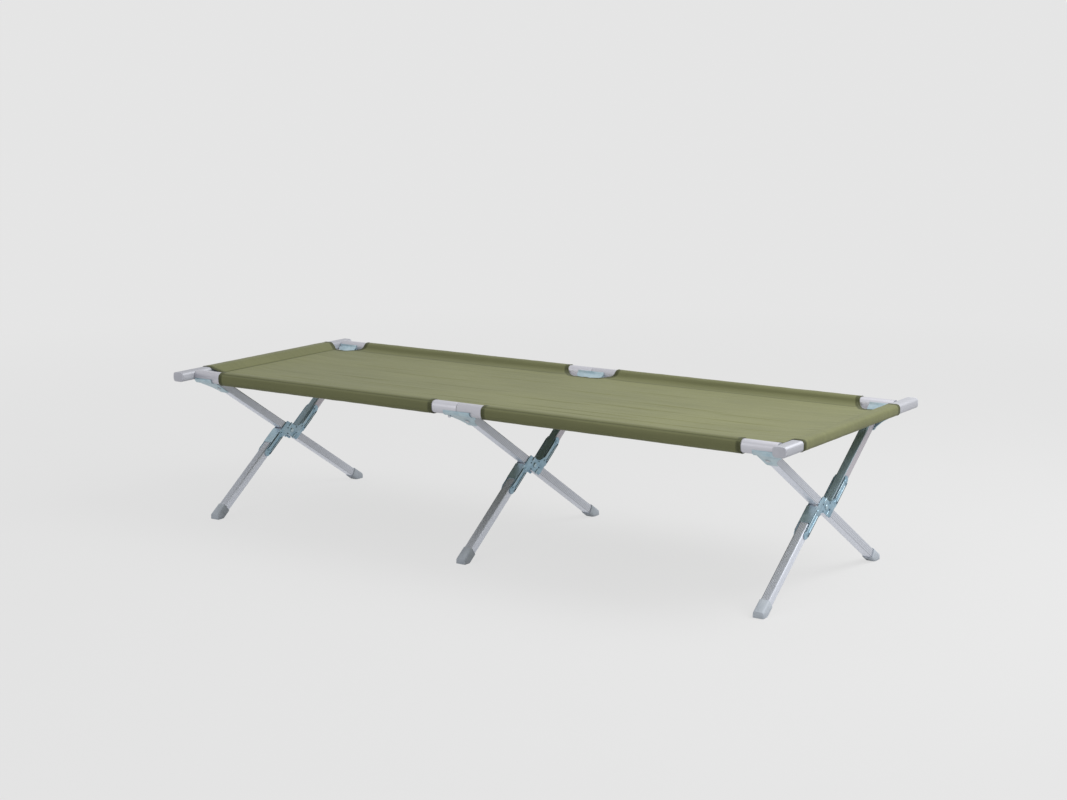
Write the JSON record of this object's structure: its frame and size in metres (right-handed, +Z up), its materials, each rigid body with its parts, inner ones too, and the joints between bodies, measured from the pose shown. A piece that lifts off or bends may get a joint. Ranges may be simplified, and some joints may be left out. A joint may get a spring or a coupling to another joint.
{
  "type": "folding camp bed",
  "caption": "Long low folding bed with round side rails, crossed square legs in sets, end bars plugged across the rail ends and a stretched cloth lying surface.",
  "frame": {"origin": "centre of the bed on the floor, under the crossing of the middle leg set", "axes": "+X along the bed's length, +Y from the near rail to the far rail, +Z up"},
  "size_m": [1.9032, 0.7616, 0.4271],
  "materials": {
    "satin_aluminium": "satin anodised tube",
    "reeded_aluminium": "satin tube with fine lengthwise reeds",
    "zinc_plated_steel": "bluish zinc plate",
    "bright_steel": "bright",
    "grey_plastic": "matte",
    "bar_cap_plastic": "matte",
    "olive_cloth": "coated woven cloth"
  },
  "bodies": {
    "near_frame": {"near_rail_left": "satin_aluminium", "near_rail_right": "satin_aluminium", "near_rail_plug_left": "grey_plastic", "near_rail_plug_right": "grey_plastic", "near_rail_hinge_pin": "bright_steel", "long_leg_left": "reeded_aluminium", "long_leg_middle": "reeded_aluminium", "long_leg_right": "reeded_aluminium", "far_foot_left": "grey_plastic", "far_foot_middle": "grey_plastic", "far_foot_right": "grey_plastic", "near_bracket_left": "zinc_plated_steel", "near_bracket_middle": "zinc_plated_steel", "near_bracket_right": "zinc_plated_steel", "near_leg_pin_left": "bright_steel", "near_leg_pin_middle": "bright_steel", "near_leg_pin_right": "bright_steel", "near_side_sleeve_left": "olive_cloth", "near_side_sleeve_right": "olive_cloth", "bed_panel": "olive_cloth"},
    "far_frame": {"far_rail_left": "satin_aluminium", "far_rail_right": "satin_aluminium", "far_rail_plug_left": "grey_plastic", "far_rail_plug_right": "grey_plastic", "far_rail_hinge_pin": "bright_steel", "far_end_pin_left": "bright_steel", "far_end_pin_right": "bright_steel", "split_leg_upper_left": "reeded_aluminium", "split_leg_upper_middle": "reeded_aluminium", "split_leg_upper_right": "reeded_aluminium", "split_leg_lower_left": "reeded_aluminium", "split_leg_lower_middle": "reeded_aluminium", "split_leg_lower_right": "reeded_aluminium", "near_foot_left": "grey_plastic", "near_foot_middle": "grey_plastic", "near_foot_right": "grey_plastic", "far_bracket_left": "zinc_plated_steel", "far_bracket_middle": "zinc_plated_steel", "far_bracket_right": "zinc_plated_steel", "far_leg_pin_left": "bright_steel", "far_leg_pin_middle": "bright_steel", "far_leg_pin_right": "bright_steel", "crossing_bracket_left": "zinc_plated_steel", "crossing_bracket_middle": "zinc_plated_steel", "crossing_bracket_right": "zinc_plated_steel", "crossing_pivot_left": "bright_steel", "crossing_pivot_middle": "bright_steel", "crossing_pivot_right": "bright_steel", "far_side_sleeve_left": "olive_cloth", "far_side_sleeve_right": "olive_cloth"},
    "left_bar": {"end_bar_left": "satin_aluminium", "bar_cap_left_near": "bar_cap_plastic", "bar_cap_left_far": "bar_cap_plastic", "bar_pin_left": "bright_steel", "end_sleeve_left": "olive_cloth"},
    "right_bar": {"end_bar_right": "satin_aluminium", "bar_cap_right_near": "bar_cap_plastic", "bar_cap_right_far": "bar_cap_plastic", "bar_pin_right": "bright_steel", "end_sleeve_right": "olive_cloth"}
  },
  "joints": [
    {"name": "fold", "type": "hinge", "parent": "near_frame", "child": "far_frame", "pos_m": [0, 0, 0.205], "axis": [1, 0, 0], "range_deg": [0, 108.5], "deforming": ["bed_panel"]},
    {"name": "left_bar_swing", "type": "hinge", "parent": "near_frame", "child": "left_bar", "pos_m": [-0.9325, -0.318, 0.412], "axis": [1, 0, 0], "range_deg": [-32.7, 0], "deforming": ["bed_panel"]},
    {"name": "right_bar_swing", "type": "hinge", "parent": "near_frame", "child": "right_bar", "pos_m": [0.9325, -0.318, 0.412], "axis": [1, 0, 0], "range_deg": [-32.7, 0], "deforming": ["bed_panel"]}
  ],
  "couplings": [
    {"joint": "left_bar_swing", "follows": "fold", "ratio": -0.301},
    {"joint": "right_bar_swing", "follows": "fold", "ratio": -0.301}
  ]
}
